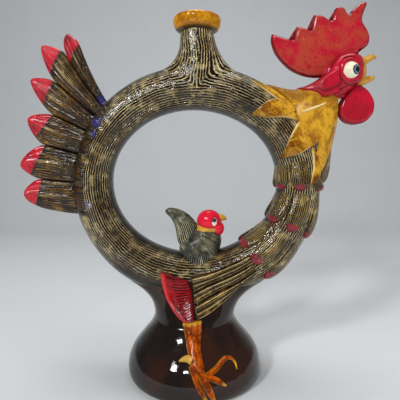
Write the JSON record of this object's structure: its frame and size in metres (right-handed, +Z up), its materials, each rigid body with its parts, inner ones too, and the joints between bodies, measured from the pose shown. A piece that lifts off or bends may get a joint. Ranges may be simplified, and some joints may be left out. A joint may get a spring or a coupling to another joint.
{
  "type": "ring jug",
  "caption": "Ring jug in glazed pottery: a hollow clay ring on a bell foot, with a rooster's head and tail outside it and a chick sitting in its eye.",
  "frame": {"origin": "middle of the foot on the surface it stands on", "axes": "+X where the rooster looks, -Y the rooster's right side, +Z up through the mouth"},
  "size_m": [0.3504, 0.146, 0.368],
  "materials": {
    "combed_glaze": "glossy",
    "dark_glaze": "glossy",
    "gold_glaze": "glossy",
    "red_glaze": "glossy",
    "amber_glaze": "glossy",
    "white_glaze": "glossy",
    "black_glaze": "glossy"
  },
  "bodies": {
    "root": {"ring_body": "combed_glaze", "ring_saddle": "dark_glaze", "pedestal": "dark_glaze", "neck": "combed_glaze", "mouth_collar": "gold_glaze", "tail_feather_1": "combed_glaze", "tail_feather_2": "combed_glaze", "tail_feather_3": "combed_glaze", "tail_feather_4": "combed_glaze", "tail_feather_5": "combed_glaze", "tail_feather_6": "combed_glaze", "bird_neck": "gold_glaze", "head": "red_glaze", "nape": "red_glaze", "comb": "red_glaze", "upper_beak": "gold_glaze", "lower_beak": "gold_glaze", "eyeball_right": "white_glaze", "eyeball_left": "white_glaze", "pupil_right": "black_glaze", "pupil_left": "black_glaze", "eyelid_right": "red_glaze", "eyelid_left": "red_glaze", "cheek_folds_right": "red_glaze", "cheek_folds_left": "red_glaze", "wattle_right": "red_glaze", "wattle_left": "red_glaze", "hackle_crest_right": "gold_glaze", "hackle_crest_left": "gold_glaze", "hackle_side_right": "gold_glaze", "hackle_side_left": "gold_glaze", "hackle_breast_right": "gold_glaze", "hackle_breast_left": "gold_glaze", "hackle_throat_right": "gold_glaze", "hackle_throat_left": "gold_glaze", "breast_feathers_upper": "combed_glaze", "breast_feathers_middle": "combed_glaze", "breast_feathers_lower": "combed_glaze", "wing_shoulder_right": "red_glaze", "wing_shoulder_left": "red_glaze", "flight_feathers_right": "combed_glaze", "flight_feathers_left": "combed_glaze", "shank_right": "amber_glaze", "shank_left": "amber_glaze", "toes_right": "amber_glaze", "toes_left": "amber_glaze", "spur_right": "amber_glaze", "spur_left": "amber_glaze", "chick_body": "combed_glaze", "chick_neck_band": "gold_glaze", "chick_head": "red_glaze", "chick_tail": "combed_glaze", "chick_beak": "gold_glaze", "chick_wattle": "red_glaze", "chick_eyes": "black_glaze"}
  },
  "joints": []
}
